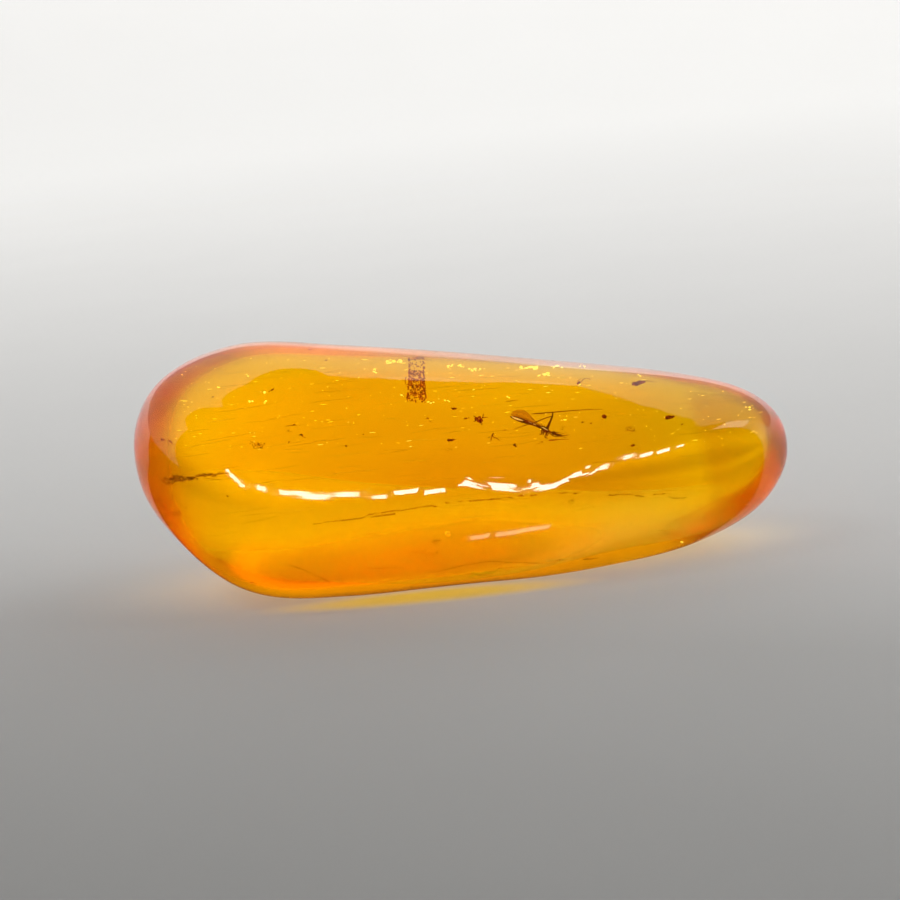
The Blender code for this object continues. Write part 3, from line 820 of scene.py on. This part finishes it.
# soft brown smudges: many fine grains
dust = Build()
SMUDGES = [  # right, down, half width, half height, grains, depth, grain
    (259.0, 445.4, 7.0, 3.6, 70, 3.0, 0.8), (630.5, 429.0, 6.0, 2.6, 34, 2.2, 0.8), (634.0, 431.5, 4.0, 2.0, 16, 2.4, 0.7), (571.0, 502.0, 4.0, 2.6, 24, 1.6, 0.7),
    (176.0, 513.0, 6.0, 3.0, 44, 2.4, 0.8), (437.0, 542.0, 4.4, 3.2, 36, 1.6, 0.8), (563.0, 428.0, 4.0, 2.0, 14, 3.0, 0.6), (252.0, 443.0, 3.4, 1.8, 18, 3.0, 0.7),
    (707.0, 521.0, 16.0, 6.0, 46, 3.0, 0.8), (425.0, 554.0, 18.0, 6.0, 50, 3.0, 0.8), (176.6, 476.6, 7.0, 2.6, 46, 2.2, 0.9), (169.4, 483.0, 4.6, 2.4, 30, 2.2, 0.9),
    (190.0, 478.5, 9.0, 1.6, 44, 2.6, 1.0), (207.0, 475.0, 9.0, 1.4, 40, 2.6, 0.9), (221.0, 473.0, 6.0, 1.0, 18, 2.4, 0.8), (168.0, 480.0, 8.0, 4.4, 60, 2.2, 1.2), (289.0, 431.0, 3.0, 1.0, 10, 3.0, 0.6), (446.0, 450.0, 6.0, 2.0, 16, 2.6, 0.6),
    (421.0, 357.8, 7.0, 2.0, 34, 1.6, 0.9), (182.0, 479.0, 12.0, 2.6, 90, 2.3, 1.1), (206.0, 475.2, 12.0, 2.0, 70, 2.5, 1.0),
]
rng = np.random.default_rng(5)
for px, py, a, b, count, depth, grain in SMUDGES:
    spot = Patch(px, py, depth, 6.0)
    for n in range(count):
        q, t = math.sqrt(rng.uniform()) ** 1.3, rng.uniform(0, 2 * math.pi)
        s = grain * rng.uniform(0.5, 1.3)
        dust.lump(spot, px + a * q * math.cos(t), py + b * q * math.sin(t), s * rng.uniform(0.8, 1.9), s, rng.uniform(-30, 30),
                  rng.uniform(-6, 6), None, 0.4, 1, int(rng.integers(1 << 30)))
dust.piece("brown_smudges", tan)

# strings of fine grains that mark the surface of an older flow of resin
STRINGS = [
    [(313, 524.2), (321, 523.6)], [(325, 522.2), (329, 521.8)], [(334, 521.4), (338, 521.0)], [(341, 520.6), (350, 519.6)], [(352, 519.4), (361, 518.4)], [(361, 518.0), (370, 514.4), (378, 513.2)],
    [(382, 512.6), (391, 511.2)], [(391, 511.2), (399, 510.8)], [(402, 510.4), (409, 509.0)], [(411, 508.6), (420, 507.0)], [(423, 506.8), (431, 506.0), (437, 506.2)],
    [(372, 517.2), (384, 515.4), (395, 513.8)], [(446, 503.4), (450, 502.8)], [(459, 501.6), (463, 501.0)], [(470, 501.2), (477, 500.0), (485, 499.8)], [(489, 499.6), (501, 499.0)],
    [(509, 497.8), (513, 497.4)], [(519, 495.8), (523, 495.4)], [(531, 495.6), (536, 495.2)], [(560, 493.2), (567, 492.8)], [(573, 493.6), (578, 493.4)],
    [(608, 495.4), (614, 494.8), (620, 494.6), (632, 494.6)], [(636, 495.4), (645, 496.8)], [(654, 494.6), (666, 493.6)], [(669, 497.2), (678, 498.2), (688, 498.0)],
]
strings = Build()
for n, line in enumerate(STRINGS):
    path = smooth_path([(x, y) for x, y in line], 5)
    spot = Patch(*path[len(path) // 2], 1.5, 5.0)
    length = np.linalg.norm(np.diff(path, axis=0), axis=1).sum()
    for k in range(int(length / 1.6) + 1):
        s = min(k * 1.6 / max(length, 1), 1.0) * (len(path) - 1)
        i = min(int(s), len(path) - 2)
        x, y = path[i] + (path[i + 1] - path[i]) * (s - i)
        size = rng.uniform(0.75, 1.75)
        strings.lump(spot, x + rng.normal() * 0.25, y + rng.normal() * 0.35, size * rng.uniform(1.0, 2.0), size * 0.9, rng.uniform(-20, 20),
                     rng.normal() * 1.2, None, 0.4, 1, int(rng.integers(1 << 30)))
strings.piece("dust_strings", debris)

# frass: a short crumbly column that hangs down from the top of the stone
amber_grain = material("frass", (0.42, 0.15, 0.03), 0.5)
mottle(amber_grain, 3400.0, [(0.30, (0.30, 0.075, 0.010)), (0.5, (0.60, 0.18, 0.02)), (0.75, (0.90, 0.38, 0.05))])
bump(amber_grain, 9000.0, 0.6, 0.00003)
stained(amber_grain, (0.88, 0.54, 0.22), 0.30)
frass = Build()
rng = np.random.default_rng(8)
for n in range(560):
    y = rng.uniform(357.0, 402.5) if n % 3 else rng.uniform(370.0, 401.0)
    edge = rng.uniform() < 0.28
    half = 8.8 - 0.9 * math.sin((y - 357) / 9.0)
    x = 416.4 + (rng.choice((-1, 1)) * (half - rng.uniform(0, 2.2)) if edge else rng.uniform(-half, half))
    if (y > 398 or y < 370) and rng.uniform() < 0.45:
        continue
    size = rng.uniform(0.8, 1.9)
    frass.lump(Patch(x, y, 2.0 + 0.02 * rng.uniform(0, 60), 4.0), x, y, size * rng.uniform(0.9, 1.5), size, rng.uniform(0, 180),
               rng.uniform(-6, 6), None, 0.45, 1, int(rng.integers(1 << 30)))
frass.piece("frass_column", amber_grain)

# brown veins of an old crack at the thick end, and wave lines low in the front
crack = Build()
VEINS = [
    ([(172.0, 481.6), (186.0, 479.4), (200.0, 476.0), (214.0, 474.0), (228.0, 472.6)], 2.4, 0.4), ([(203.0, 477.8), (212.0, 479.0), (221.0, 479.6)], 2.2, 0.25),
    ([(367.0, 567.6), (378.0, 568.6), (390.0, 567.4), (402.0, 568.2)], 1.2, 0.32), ([(430.0, 573.0), (450.0, 568.6), (470.0, 564.0), (493.0, 561.0)], 1.4, 0.3),
    ([(493.0, 561.0), (508.0, 562.6), (525.0, 562.4), (542.0, 564.0)], 1.4, 0.26), ([(290.0, 565.0), (309.0, 572.0), (329.0, 582.0)], 1.0, 0.28),
    ([(337.0, 580.0), (345.0, 584.0)], 1.0, 0.3),
]
for pts, depth, r in VEINS:
    mid = pts[len(pts) // 2]
    crack.tube(Patch(*mid, depth, 8.0), [(x, y, 0.0, r) for x, y in pts], sides=5, per=5, wobble=0.25, rng=rng)
crack.piece("fine_brown_lines", tan)

# ------------------------------------------------------------ painted glints: glowing flakes in the resin
# small flakes in the resin, whose brightness is a painted glint: they glow by themselves
painted_glint_flake = material("glowing_flakes_painted_glints", (1.0, 0.85, 0.35), 0.4, Emission_Strength=1.1)
painted_glint_flake.node_tree.nodes["Principled BSDF"].inputs["Emission Color"].default_value = (1.0, 0.80, 0.16, 1.0)
mottle(painted_glint_flake, 4000.0, [(0.3, (1.0, 0.84, 0.35)), (0.7, (1.0, 0.97, 0.80))])
painted_glints = Build()
rng = np.random.default_rng(21)
GLINTS = [  # right, down, half width, half height, count, size
    (395, 361.6, 10, 1.8, 16, 1.5), (374, 371, 3, 2, 5, 1.2), (456, 366, 8, 1.6, 12, 1.5), (475, 369.4, 6, 1.6, 9, 1.5), (528, 368, 10, 1.6, 18, 1.7),
    (547, 374, 8, 1.6, 12, 1.5), (556, 366.4, 6, 1.4, 8, 1.4), (581, 366, 4, 1.2, 5, 1.2), (403, 395, 2, 1.4, 3, 1.3), (474, 390, 1, 1, 2, 1.1), (508, 398, 1.6, 1.4, 3, 1.2),
    (563, 421, 2.4, 1.4, 3, 1.4), (251, 402, 2, 1.6, 3, 1.4), (265, 402, 3, 2, 4, 1.5), (246, 375, 2, 1.4, 3, 1.1), (218, 386, 2, 1.4, 3, 1.1), (748, 408, 3, 2, 4, 1.2),
    (681, 542, 1.6, 1, 2, 1.2), (639, 376, 3, 1.4, 3, 1.1), (580, 384.6, 1.4, 1, 2, 1.1), (447, 401, 4, 1.4, 3, 1.2), (431, 402, 3, 1.2, 3, 1.2), (262, 392, 3, 1.6, 3, 1.2),
]
for px, py, a, b, count, size in GLINTS:
    for n in range(count):
        x, y = px + a * rng.uniform(-1, 1), py + b * rng.uniform(-1, 1)
        s = size * rng.uniform(0.5, 1.2)
        depth = rng.uniform(1.2, 3.0)
        painted_glints.lump(Patch(x, y, depth, 4.0), x, y, s * rng.uniform(1.2, 2.6), s, rng.uniform(-25, 25), 0.0, 0.25, 0.35, 1, int(rng.integers(1 << 30)))
# more glowing slivers under the upper face, painted glints as well
for n in range(320):
    x, y = rng.uniform(165, 765), rng.uniform(358, 450)
    if skin.meet(x, y - 9) is None or skin.meet(x, y + 4) is None:
        continue
    s, long = rng.uniform(0.3, 0.75), rng.uniform(1.0, 2.0) if n % 3 else rng.uniform(4.0, 11.0)
    painted_glints.lump(Patch(x, y, rng.uniform(1.0, 5.0), 4.0), x, y, s * long, s / (1.0 if long < 3.0 else 1.6), rng.uniform(-30, 30) if long < 3.0 else rng.uniform(-9, 1), 0.0, 0.2, 0.3, 1, int(rng.integers(1 << 30)))
painted_glints.piece("glowing_flakes_painted_glints", painted_glint_flake)

# bubbles of air
air = material("bubbles", (1.0, 0.98, 0.92), 0.02, IOR=1.4, Transmission_Weight=1.0)
mottle(air, 2500.0, [(0.3, (0.97, 0.93, 0.86)), (0.7, (1.0, 1.0, 1.0))])
bubbles = Build()
for n, (px, py, d, depth) in enumerate(((448.0, 534.0, 6.5, 2.0), (252.0, 583.0, 3.0, 0.8), (168.0, 443.5, 2.2, 1.0), (157.0, 441.0, 2.6, 1.0), (163.0, 447.0, 1.6, 1.0),
                                         (403.5, 394.5, 2.4, 2.2), (612.0, 411.0, 1.6, 2.0), (623.0, 413.6, 1.3, 2.0), (700.0, 463.0, 2.0, 1.6), (334.0, 473.0, 1.6, 1.6))):
    bubbles.lump(Patch(px, py, depth, 4.0), px, py, d, d * 0.9, 0, 0, None, 0.04, 2, 700 + n)
bubbles.piece("air_bubbles", air)

# flow streaks: long hair-thin slivers, where one pour of resin met the next
streak = material("flow_streaks", (1.0, 0.74, 0.25), 0.6)
mottle(streak, 700.0, [(0.4, (0.60, 0.34, 0.05)), (0.6, (1.0, 0.90, 0.40))], stretch=(0.2, 1, 1), detail=1.0)
stained(streak, (0.97, 0.90, 0.70), 0.30)
streaks = Build()
rng = np.random.default_rng(34)
made = 0
while made < 170:
    x, y = rng.uniform(190, 735), rng.uniform(362, 575)
    half = rng.uniform(5, 30)
    slope = math.radians(-5.0 + rng.normal() * 2.0 + (x - 450) * 0.012)
    depth = rng.uniform(1.2, 7.5)
    pts = []
    for k in range(-3, 4):
        u = half * k / 3
        pts.append((x + u, y + math.tan(slope) * u + 0.0012 * u * u * math.sin(x * 0.02) + rng.normal() * 0.25))
    if any(skin.meet(*p) is None or skin.meet(p[0], p[1] - 8) is None or skin.meet(p[0], p[1] + 8) is None for p in pts):
        continue
    made += 1
    thick = rng.uniform(0.09, 0.22)
    spot = Patch(x, y, depth, 8.0)
    lifts = [rng.normal() * 1.0 for _ in pts]
    streaks.tube(spot, [(a, b, l, thick * (1.0 if 0 < k < 6 else 0.3)) for k, ((a, b), l) in enumerate(zip(pts, lifts))], sides=4, per=3)
streaks.piece("flow_streaks", streak)

# ---------------------------------------------------------------- stage and light
# how far the pale floor glows by itself, from the front edge (0) to far behind the stone (1)
FLOOR_GLOW = ((0.0, 0.045), (0.09, 0.145), (0.13, 0.25), (0.174, 0.305), (0.236, 0.355), (0.35, 0.445), (0.50, 0.53), (0.85, 0.62), (1.0, 0.67))
# painted glow on the floor under the stone, in place of light passing through it
UNDER_GLOW = 2.0


def stage_bowl():
    """A round floor that curves up into a pale wall, open above."""
    profile = [(0.5 * k / 8, 0.0) for k in range(9)]
    profile += [(0.5 + 0.4 * math.sin(a), 0.4 - 0.4 * math.cos(a)) for a in (math.pi / 2 * k / 24 for k in range(1, 25))]
    profile += [(0.9, 0.4 + 0.5 * k / 8) for k in range(1, 9)]
    spokes = 128
    verts = [(0.0, 0.0, 0.0)]
    for r, z in profile[1:]:
        verts += [(r * math.cos(2 * math.pi * k / spokes), r * math.sin(2 * math.pi * k / spokes), z) for k in range(spokes)]
    faces = [(0, 1 + k, 1 + (k + 1) % spokes) for k in range(spokes)]
    for j in range(len(profile) - 2):
        for k in range(spokes):
            a, b = 1 + j * spokes + k, 1 + j * spokes + (k + 1) % spokes
            faces.append((a, a + spokes, b + spokes, b))
    mat = material("pale_paper", (0.42, 0.42, 0.415), 0.9)
    nt = mat.node_tree
    shader = nt.nodes["Principled BSDF"]
    mottle(mat, 40.0, [(0.3, (0.415, 0.415, 0.41)), (0.7, (0.425, 0.425, 0.42))], detail=0.0)
    coord = nt.nodes.new("ShaderNodeTexCoord")
    xyz = nt.nodes.new("ShaderNodeSeparateXYZ")
    nt.links.new(coord.outputs["Object"], xyz.inputs[0])

    def span(socket, a, b, c, d):
        node = nt.nodes.new("ShaderNodeMapRange")
        node.interpolation_type = "SMOOTHSTEP"
        for key, value in zip(("From Min", "From Max", "To Min", "To Max"), (a, b, c, d)):
            node.inputs[key].default_value = value
        nt.links.new(socket, node.inputs["Value"])
        return node.outputs["Result"]

    def join(op, a, b):
        node = nt.nodes.new("ShaderNodeMath")
        node.operation = op
        for k, v in enumerate((a, b)):
            if isinstance(v, float):
                node.inputs[k].default_value = v
            else:
                nt.links.new(v, node.inputs[k])
        return node.outputs[0]

    rise = join("MULTIPLY", span(xyz.outputs["Z"], 0.02, 0.3, 0.0, 0.55), span(xyz.outputs["Z"], 0.3, 0.85, 1.0, 0.08))
    wall = join("MULTIPLY", rise, span(xyz.outputs["Y"], -0.8, 0.3, 0.2, 1.0))
    place = nt.nodes.new("ShaderNodeMapRange")
    place.inputs["From Min"].default_value, place.inputs["From Max"].default_value = -0.10, 0.70
    # lines of equal brightness run level in the view
    aslant = nt.nodes.new("ShaderNodeMapRange")
    for key, value in zip(("From Min", "From Max", "To Min", "To Max"), (-0.25, 0.25, -0.115, 0.115)):
        aslant.inputs[key].default_value = value
    nt.links.new(xyz.outputs["X"], aslant.inputs["Value"])
    nt.links.new(join("ADD", xyz.outputs["Y"], aslant.outputs["Result"]), place.inputs["Value"])
    far = ramp(nt, place.outputs["Result"], [(q, (g, g, g)) for q, g in FLOOR_GLOW])
    # painted glow on the floor right under the stone, as bright as the rest, in place of light passing through it; and
    # a painted yellow pool of light just in front of the stone
    gap_x = join("DIVIDE", join("ADD", xyz.outputs["X"], 0.001), 0.0205)
    gap_y = join("DIVIDE", join("ADD", xyz.outputs["Y"], 0.001), 0.0075)
    gap = join("ADD", join("MULTIPLY", gap_x, gap_x), join("MULTIPLY", gap_y, gap_y))
    under = span(gap, 0.25, 1.0, UNDER_GLOW, 0.0)
    painted_pool_y = join("DIVIDE", join("ADD", xyz.outputs["Y"], 0.0118), 0.0032)
    painted_pool_x = join("DIVIDE", join("ADD", xyz.outputs["X"], 0.0045), 0.0185)
    painted_pool = span(join("ADD", join("MULTIPLY", painted_pool_x, painted_pool_x), join("MULTIPLY", painted_pool_y, painted_pool_y)), 0.0, 1.0, 1.0, 0.0)
    painted_pool_tint = nt.nodes.new("ShaderNodeMix")
    painted_pool_tint.data_type = "RGBA"
    nt.links.new(painted_pool, painted_pool_tint.inputs["Factor"])
    painted_pool_tint.inputs["A"].default_value, painted_pool_tint.inputs["B"].default_value = (1.0, 0.99, 0.97, 1.0), (1.0, 0.66, 0.06, 1.0)
    nt.links.new(painted_pool_tint.outputs["Result"], shader.inputs["Emission Color"])
    under = join("ADD", under, join("MULTIPLY", painted_pool, 0.22))
    nt.links.new(join("ADD", join("ADD", wall, far), under), shader.inputs["Emission Strength"])
    mat.cycles.emission_sampling = "NONE"
    points = np.array(verts)
    ahead = [points[list(f)].mean(0) for f in faces]
    ahead = [c[1] < (-0.3 * c[0] if c[0] < 0 else -0.15 * c[0]) for c in ahead]
    for name, part in (("studio_floor", False), ("studio_floor_ahead", True)):
        mine = [f for f, a in zip(faces, ahead) if a == part]
        used = sorted({i for f in mine for i in f})
        index = {old: new for new, old in enumerate(used)}
        ob = mesh_object(name, [verts[i] for i in used], [tuple(index[i] for i in f) for f in mine], mat)
        ob.location.z = -0.00004
        ob.visible_glossy = not part


stage_bowl()


def reflector():
    """A curved pale card behind and over the stone: it is seen only mirrored in the upper face, as the pale band there."""
    sides = (-112, -75, -38, -7, 0, 5, 8, 10, 12, 16, 21, 29, 36, 58, 74)
    tops = (66, 74, 78, 66, 62, 52, 42, 42, 45, 49, 53, 60, 63, 67, 67)
    turns = np.linspace(sides[0], sides[-1], 94)
    rows, verts, faces = 16, [], []
    for turn in turns:
        top = float(np.interp(turn, sides, tops))
        for k in range(rows):
            lift, side = math.radians(20 + (top - 20) * k / (rows - 1)), math.radians(float(turn))
            verts.append((0.86 * math.cos(lift) * math.sin(side), 0.86 * math.cos(lift) * math.cos(side), 0.86 * math.sin(lift)))
    for j in range(len(turns) - 1):
        for k in range(rows - 1):
            a = j * rows + k
            faces.append((a, a + 1, a + rows + 1, a + rows))
    mat = material("pale_card", (0.0, 0.0, 0.0), 1.0, Emission_Strength=REFLECTOR)
    mottle(mat, 3.0, [(0.3, (0.02, 0.02, 0.02)), (0.7, (0.03, 0.03, 0.03))])
    mat.node_tree.nodes["Principled BSDF"].inputs["Emission Color"].default_value = (1.0, 0.98, 0.95, 1.0)
    mat.cycles.emission_sampling = "NONE"
    card = mesh_object("reflector_card", verts, faces, mat)
    card.visible_camera = card.visible_diffuse = card.visible_transmission = card.visible_shadow = False


REFLECTOR = 0.62
reflector()


def lamp(name, place, aim, wide, high, power):
    light = bpy.data.lights.new(name, "AREA")
    light.shape, light.size, light.size_y, light.energy, light.color = "RECTANGLE", wide, high, power, (1.0, 1.0, 1.0)
    ob = bpy.data.objects.new(name, light)
    scene.collection.objects.link(ob)
    back = (Vector(place) - Vector(aim)).normalized()
    across = (Vector((1, 0, 0)) - back * back.x).normalized()
    top = back.cross(across)
    ob.matrix_world = Matrix(((across.x, top.x, back.x, place[0]), (across.y, top.y, back.y, place[1]), (across.z, top.z, back.z, place[2]), (0, 0, 0, 1)))
    ob.visible_camera = False
    return ob


lamp("softbox_left", (-0.95, 0.10, 1.25), (0, 0, 0), 0.45, 0.45, 2.0)
lamp("softbox_right", (0.95, 0.10, 1.25), (0, 0, 0), 0.45, 0.45, 1.6)

def cards(name, verts, faces, glow, mirrored):
    """Glowing cards: the stone shows them mirrored, or else only what is seen through it does."""
    mat = material(name, (0.0, 0.0, 0.0), 1.0)
    nt = mat.node_tree
    shader = nt.nodes["Principled BSDF"]
    shader.inputs["Specular IOR Level"].default_value = 0.0
    shader.inputs["Emission Color"].default_value = (1.0, 1.0, 1.0, 1.0)
    share = nt.nodes.new("ShaderNodeAttribute")
    share.attribute_name = "glow"
    nt.links.new(share.outputs["Fac"], shader.inputs["Emission Strength"])
    mat.cycles.emission_sampling = "NONE"
    ob = mesh_object(name, verts, faces, mat, smooth=False)
    ob.data.attributes.new("glow", "FLOAT", "POINT").data.foreach_set("value", np.array(glow, np.float32))
    ob.visible_camera = ob.visible_diffuse = ob.visible_shadow = False
    ob.visible_glossy, ob.visible_transmission = mirrored, not mirrored


def table_card(name, xs, ys, how_bright):
    """A pale card on the table beside the stone, in mm, that sends light up into the resin."""
    x, y = np.meshgrid(xs, ys)
    verts = [(a * MM, b * MM, 0.0008) for a, b in zip(x.ravel(), y.ravel())]
    w = len(xs)
    faces = [(j * w + i, j * w + i + 1, (j + 1) * w + i + 1, (j + 1) * w + i) for j in range(len(ys) - 1) for i in range(w - 1)]
    cards(name, verts, faces, np.broadcast_to(how_bright(x, y), x.shape).ravel(), False)


def behind(x, y):
    near = (1.04 + 0.25 * ease(y, 21.5, 26.5)) * (1 - 0.25 * ease(x, 8.0, 21.0))
    return near * (1 - 0.52 * ease(y, 30.0, 45.0) * ease(x, -12.0, 2.0))


table_card("card_behind", np.linspace(-130, 130, 131), np.r_[np.linspace(12.5, 50, 26), np.linspace(60, 220, 9)], behind)
table_card("card_ahead", (-130, 130), (-130, -15.8), lambda x, y: 6.0 + 0 * x)
table_card("card_left", (-130, -33.5), (-15.5, 12.3), lambda x, y: 1.3 + 0 * x)
table_card("card_right", (33.5, 130), (-15.5, 12.3), lambda x, y: 1.0 + 0 * x)

# A row of small bright cards, each where the polished ridge mirrors it to the eye.
DASH_LIGHT = 17.0
beads = []
for n, (px, py, wide, high) in enumerate(DASHES):
    p, _, out = mirror(px, py)
    far = 0.55
    ends = [mirror(px + sx * wide / 2, py + sy * high / 2)[2] * far for sx, sy in ((-1, 0), (1, 0), (0, -1), (0, 1))]
    upward = (ends[2] - ends[3]).normalized()
    across = upward.cross(-out).normalized()
    upward = (-out).cross(across)
    broad = 0.016 if wide > 8 else 0.012
    tall = min(max((ends[3] - ends[2]).length, 0.012), 0.10)
    beads.append((p + out * far, across * broad / 2, upward * tall / 2, DASH_LIGHT))
# Two long, faint marks low on the front: right and down of both ends.
for x0, y0, x1, y1 in ((471.0, 537.5, 487.0, 535.5), (495.0, 535.5, 550.0, 527.5)):
    met = [mirror(x0 + (x1 - x0) * k / 4, y0 + (y1 - y0) * k / 4) for k in range(5)]
    p, out = met[2][0], met[2][2]
    far = 0.022
    right = met[4][0] + met[4][2] * far - met[0][0] - met[0][2] * far
    low, top = (mirror((x0 + x1) / 2, (y0 + y1) / 2 + e) for e in (1.9, -1.9))
    above = top[0] + top[2] * far - low[0] - low[2] * far
    across = (right - out * right.dot(out)).normalized()
    upward = (-out).cross(across)
    beads.append((p + out * far, across * abs(right.dot(across)) / 2, upward * abs(above.dot(upward)) / 2, 3.8))
verts = [c + a * u + b * v for c, a, b, _ in beads for u, v in ((-1, -1), (1, -1), (1, 1), (-1, 1))]
cards("ridge_lamps", verts, [tuple(range(4 * k, 4 * k + 4)) for k in range(len(beads))], [g for *_, g in beads for _ in range(4)], True)

# ------------------------------------------------------------------ camera, world
camera_data = bpy.data.cameras.new("camera")
camera_data.lens, camera_data.sensor_width, camera_data.clip_start = LENS, SENSOR, 0.01
camera = bpy.data.objects.new("camera", camera_data)
scene.collection.objects.link(camera)
camera.matrix_world = Matrix(((RIGHT.x, UP.x, -_w.x, EYE.x), (RIGHT.y, UP.y, -_w.y, EYE.y), (RIGHT.z, UP.z, -_w.z, EYE.z), (0, 0, 0, 1)))
scene.camera = camera
world = bpy.data.worlds.new("dim_room")
scene.world = world
world.use_nodes = True
world.cycles.sampling_method = "NONE"
sky = world.node_tree
sky.nodes["Background"].inputs["Color"].default_value = (1.0, 1.0, 1.0, 1.0)
path = sky.nodes.new("ShaderNodeLightPath")
through = sky.nodes.new("ShaderNodeMapRange")
through.inputs["To Min"].default_value, through.inputs["To Max"].default_value = 0.01, 1.9
sky.links.new(path.outputs["Is Transmission Ray"], through.inputs["Value"])
sky.links.new(through.outputs["Result"], sky.nodes["Background"].inputs["Strength"])
scene.view_settings.view_transform = "Standard"
scene.cycles.transparent_max_bounces = 24
scene.cycles.max_bounces = 7
scene.cycles.use_light_tree = False
scene.cycles.transmission_bounces = 7
scene.cycles.diffuse_bounces = 2
scene.cycles.glossy_bounces = 6

bpy.context.view_layer.update()
